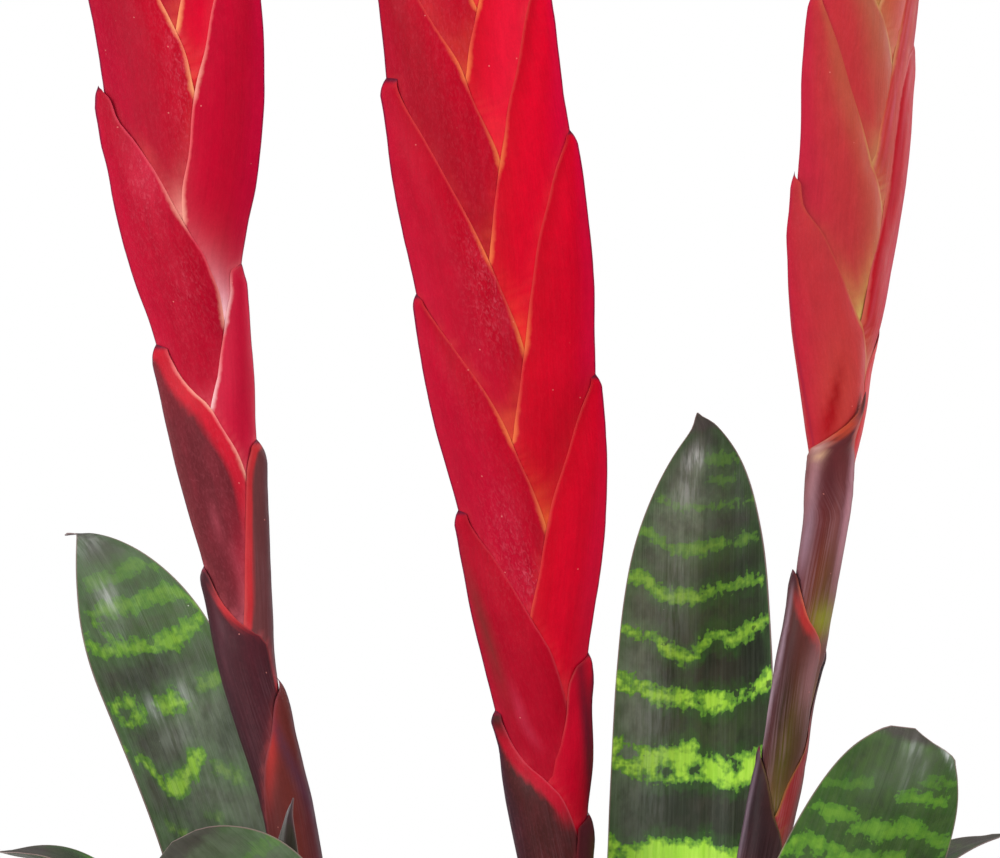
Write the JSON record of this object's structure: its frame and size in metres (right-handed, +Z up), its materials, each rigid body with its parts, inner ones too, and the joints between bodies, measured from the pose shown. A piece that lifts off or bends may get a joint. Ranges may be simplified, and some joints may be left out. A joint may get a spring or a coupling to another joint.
{
  "type": "flaming sword bromeliad",
  "caption": "Clump of banded-leaf bromeliad rosettes with flat red sword-shaped flower spikes, standing upright on its bare root ball.",
  "frame": {"origin": "centre of the root ball's flat underside", "axes": "+Z up along the flower spikes; -Y towards the side the flat faces of the left and middle spikes show"},
  "size_m": [0.4811, 0.5054, 0.596],
  "materials": {
    "sword_bract": "satin",
    "stalk_bract": "satin",
    "flower_stem": "satin",
    "leaf": "satin",
    "root_ball": "matte"
  },
  "bodies": {
    "root": {"root_ball": "root_ball", "left_flower_stem": "flower_stem", "left_bract_01": "stalk_bract", "left_bract_02": "stalk_bract", "left_bract_03": "stalk_bract", "left_bract_04": "sword_bract", "left_bract_05": "sword_bract", "left_bract_06": "sword_bract", "left_bract_07": "sword_bract", "left_bract_08": "sword_bract", "left_sword_tip": "sword_bract", "middle_flower_stem": "flower_stem", "middle_bract_01": "stalk_bract", "middle_bract_02": "stalk_bract", "middle_bract_03": "sword_bract", "middle_bract_04": "sword_bract", "middle_bract_05": "sword_bract", "middle_bract_06": "sword_bract", "middle_bract_07": "sword_bract", "middle_bract_08": "sword_bract", "middle_bract_09": "sword_bract", "middle_bract_10": "sword_bract", "middle_sword_tip": "sword_bract", "right_flower_stem": "flower_stem", "right_bract_01": "stalk_bract", "right_bract_02": "stalk_bract", "right_bract_03": "stalk_bract", "right_bract_04": "stalk_bract", "right_bract_05": "sword_bract", "right_bract_06": "sword_bract", "right_bract_07": "sword_bract", "right_bract_08": "sword_bract", "right_bract_09": "sword_bract", "right_bract_10": "sword_bract", "right_sword_tip": "sword_bract", "left_leaf_01": "leaf", "left_leaf_02": "leaf", "left_leaf_03": "leaf", "left_leaf_04": "leaf", "left_leaf_05": "leaf", "left_leaf_06": "leaf", "left_leaf_07": "leaf", "left_leaf_08": "leaf", "left_leaf_09": "leaf", "middle_leaf_01": "leaf", "middle_leaf_02": "leaf", "middle_leaf_03": "leaf", "middle_leaf_04": "leaf", "middle_leaf_05": "leaf", "middle_leaf_06": "leaf", "middle_leaf_07": "leaf", "middle_leaf_08": "leaf", "right_leaf_01": "leaf", "right_leaf_02": "leaf", "right_leaf_03": "leaf", "right_leaf_04": "leaf", "right_leaf_05": "leaf", "right_leaf_06": "leaf", "right_leaf_07": "leaf", "right_leaf_08": "leaf"}
  },
  "joints": []
}
